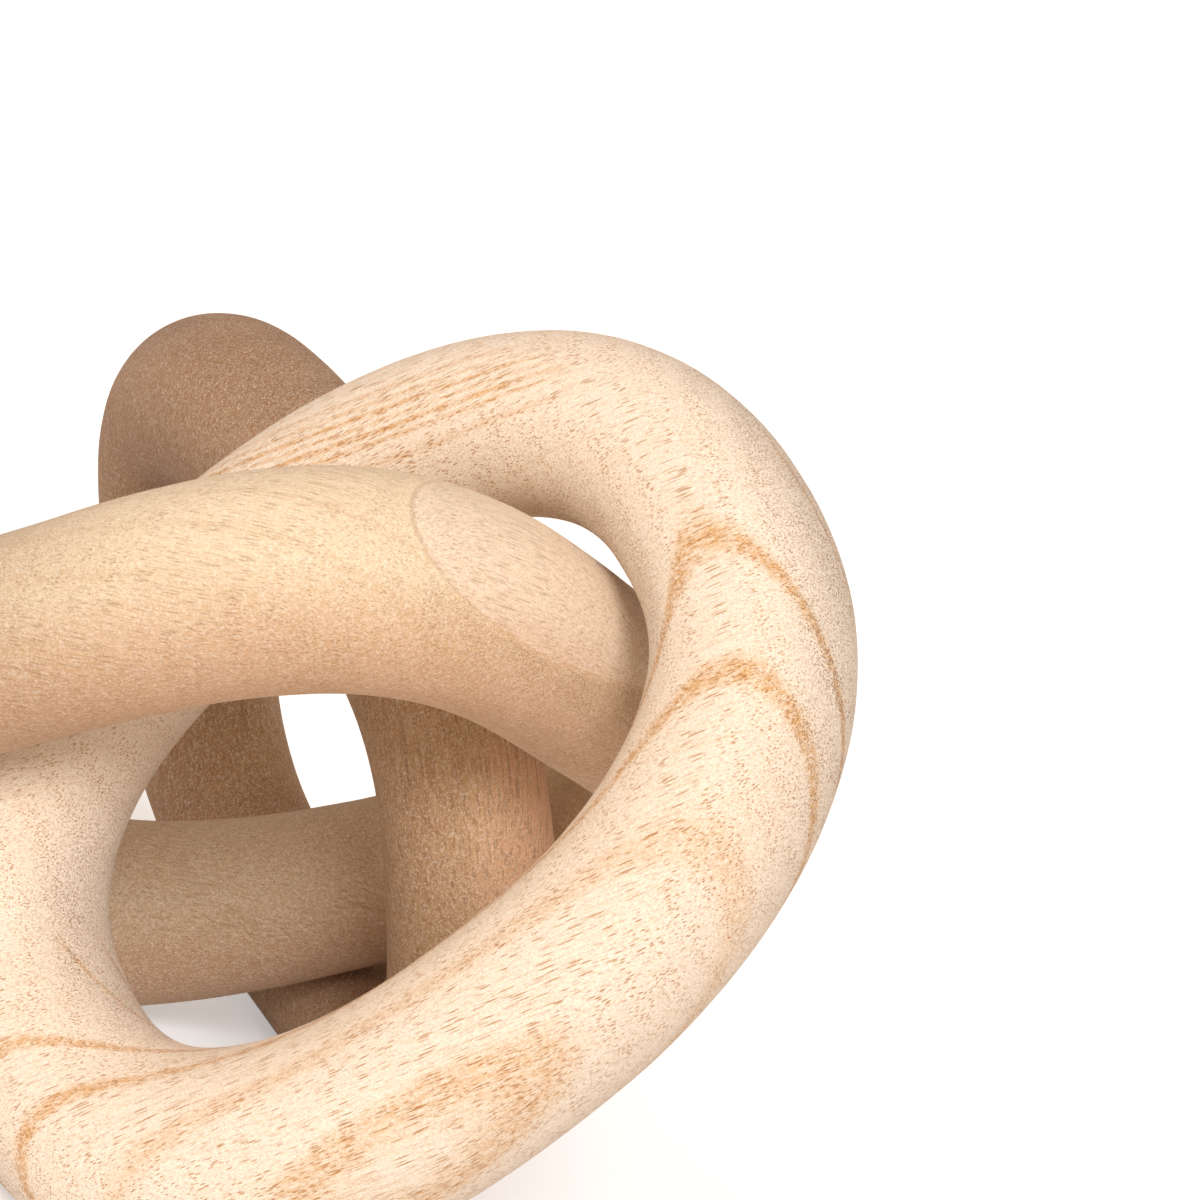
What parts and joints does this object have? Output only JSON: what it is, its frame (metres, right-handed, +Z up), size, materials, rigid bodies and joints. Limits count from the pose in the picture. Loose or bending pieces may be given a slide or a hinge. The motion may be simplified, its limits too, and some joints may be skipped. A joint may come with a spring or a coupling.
{
  "type": "wooden chain",
  "caption": "Carved chain of thick round-bar wooden links, each an oval ring passed through its neighbour, lying loose in a heap.",
  "frame": {"origin": "on the floor, under the middle of the heap as seen from above", "axes": "+Z up, +Y away from the picture's camera, +X to its right"},
  "size_m": [0.1694, 0.2146, 0.1512],
  "materials": {
    "wood": "bare sanded paulownia, matt, with brown growth rings and short open pores"
  },
  "bodies": {
    "root": {"right_link": "wood", "middle_link": "wood", "left_link": "wood"}
  },
  "joints": []
}
